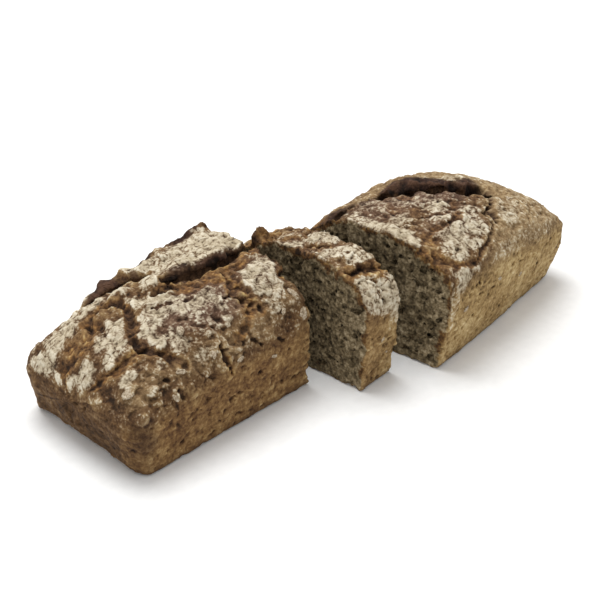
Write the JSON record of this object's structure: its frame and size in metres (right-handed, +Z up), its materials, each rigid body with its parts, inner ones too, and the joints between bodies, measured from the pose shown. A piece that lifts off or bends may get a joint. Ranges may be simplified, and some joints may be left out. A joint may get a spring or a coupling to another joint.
{
  "type": "tin loaf",
  "caption": "Floured rye tin loaf with a cracked crust, cut across with a slice standing between the halves; rests on a table or board.",
  "frame": {"origin": "bottom centre of the box around the three pieces, on the surface they stand on", "axes": "+X runs along the loaf from the front half to the rear half, +Y to the loaf's far long side, +Z up from the base"},
  "size_m": [0.3442, 0.1518, 0.0801],
  "materials": {
    "rye_bread": "matt baked rye crust with flour on top, dark moist crumb on the cut faces"
  },
  "bodies": {
    "root": {"front_half": "rye_bread", "slice": "rye_bread", "rear_half": "rye_bread"}
  },
  "joints": []
}
